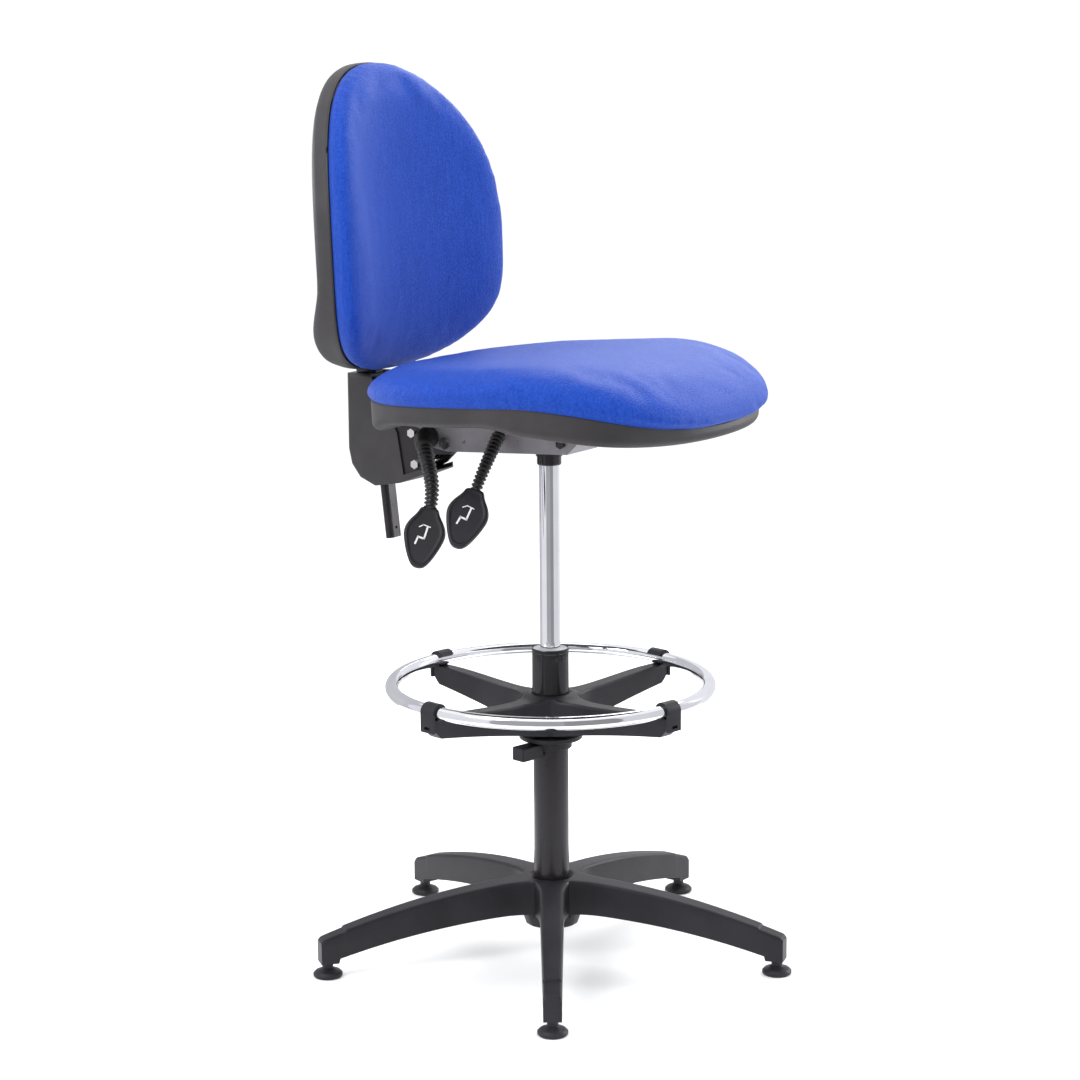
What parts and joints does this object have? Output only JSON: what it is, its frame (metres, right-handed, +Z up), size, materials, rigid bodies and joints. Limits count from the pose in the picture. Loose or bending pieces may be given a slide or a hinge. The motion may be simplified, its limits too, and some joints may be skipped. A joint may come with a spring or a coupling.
{
  "type": "drafting chair",
  "caption": "Tall task chair with a contoured upholstered seat and back, gas lift, height-adjustable footring and five-legged base on glides.",
  "frame": {"origin": "on the floor, under the axis of the column and gas lift", "axes": "+Z up along the column, the sitter faces -Y, +X is the sitter's left"},
  "size_m": [0.6324, 0.6971, 1.2273],
  "materials": {
    "black_nylon": "textured moulding",
    "shell_plastic": "fine-grained moulding",
    "gloss_black": "smooth gloss",
    "black_paint": "satin powder coat",
    "chrome": "polished",
    "bright_zinc": "zinc plated",
    "spring_steel": "oiled",
    "grey_plastic": "smooth",
    "rubber": "matt",
    "plywood": "raw birch",
    "blue_fabric": "woven crepe"
  },
  "bodies": {
    "base": {"star_base": "black_nylon", "floor_glides": "black_nylon", "glide_pins": "bright_zinc", "column_tube": "black_paint", "guide_bush": "grey_plastic", "bearing_lower_race": "spring_steel"},
    "spindle": {"bearing_balls": "chrome", "bearing_upper_race": "spring_steel", "shock_buffer": "rubber", "piston_rod": "chrome", "rod_retaining_clip": "spring_steel", "gas_piston": "bright_zinc"},
    "seat_unit": {"gas_cylinder": "chrome", "cylinder_rod_seal": "rubber", "stem_collar": "gloss_black", "taper_socket": "black_paint", "mechanism_chassis": "black_paint", "front_cross_bolt": "black_paint", "recline_pivot_pin": "bright_zinc", "recline_spring": "spring_steel", "recline_lock_barrel": "black_paint", "seat_board": "plywood", "seat_shell": "shell_plastic", "seat_cushion": "blue_fabric", "seat_fixing_screws": "bright_zinc", "seat_tee_nuts": "bright_zinc"},
    "valve": {"valve_button": "bright_zinc"},
    "height_lever": {"height_lever_rod": "spring_steel", "height_lever_paddle": "black_nylon", "height_lever_sleeve": "rubber"},
    "back_lever": {"back_lever_rod": "spring_steel", "back_lever_paddle": "black_nylon", "back_lever_sleeve": "rubber"},
    "back_carrier": {"back_bracket": "black_paint", "bracket_bolts": "bright_zinc", "upright_bar": "black_paint", "bar_holder": "black_paint", "upright_cover": "shell_plastic"},
    "backrest": {"back_shell": "shell_plastic", "back_board": "plywood", "back_cushion": "blue_fabric", "bar_guide": "black_nylon"},
    "back_clamp": {"clamp_stud": "bright_zinc", "back_knob": "black_nylon"},
    "footring_carriage": {"footring": "chrome", "footring_sleeve": "gloss_black", "footring_hub": "black_nylon", "ring_clips": "black_nylon"},
    "footring_lock": {"lock_collar": "black_nylon"}
  },
  "joints": [
    {"name": "seat_swivel", "type": "hinge", "parent": "base", "child": "spindle", "pos_m": [0, 0, 0.056], "axis": [0, 0, 1], "continuous": true},
    {"name": "seat_lift", "type": "slide", "parent": "spindle", "child": "seat_unit", "axis": [0, 0, 1], "range_m": [-0.19, 0]},
    {"name": "height_lever_turn", "type": "hinge", "parent": "seat_unit", "child": "height_lever", "pos_m": [-0.038, 0.05, 0.736], "axis": [0, 1, 0], "range_deg": [0, 8], "stiffness_Nm_per_rad": 1.5},
    {"name": "valve_press", "type": "slide", "parent": "seat_unit", "child": "valve", "axis": [0, 0, -1], "range_m": [0, 0.0045]},
    {"name": "back_lever_turn", "type": "hinge", "parent": "seat_unit", "child": "back_lever", "pos_m": [-0.038, 0.17, 0.718], "axis": [0, 1, 0], "range_deg": [0, 8], "stiffness_Nm_per_rad": 1.5},
    {"name": "back_recline", "type": "hinge", "parent": "seat_unit", "child": "back_carrier", "pos_m": [0, 0.14338, 0.7095], "axis": [-1, 0, 0], "range_deg": [-4, 8]},
    {"name": "back_height", "type": "slide", "parent": "back_carrier", "child": "backrest", "axis": [0, 0.1132, 0.9936], "range_m": [0, 0.07]},
    {"name": "back_clamp_turn", "type": "hinge", "parent": "backrest", "child": "back_clamp", "pos_m": [0, 0.32121, 0.93233], "axis": [0, 0.9936, -0.1132], "range_deg": [0, 270]},
    {"name": "footring_height", "type": "slide", "parent": "base", "child": "footring_carriage", "axis": [0, 0, 1], "range_m": [-0.14, 0]},
    {"name": "footring_lock_turn", "type": "hinge", "parent": "footring_carriage", "child": "footring_lock", "pos_m": [0, 0, 0.303], "axis": [0, 0, 1], "range_deg": [0, 60]}
  ],
  "couplings": [
    {"joint": "valve_press", "follows": "height_lever_turn", "m_per_rad": 0.032229}
  ]
}
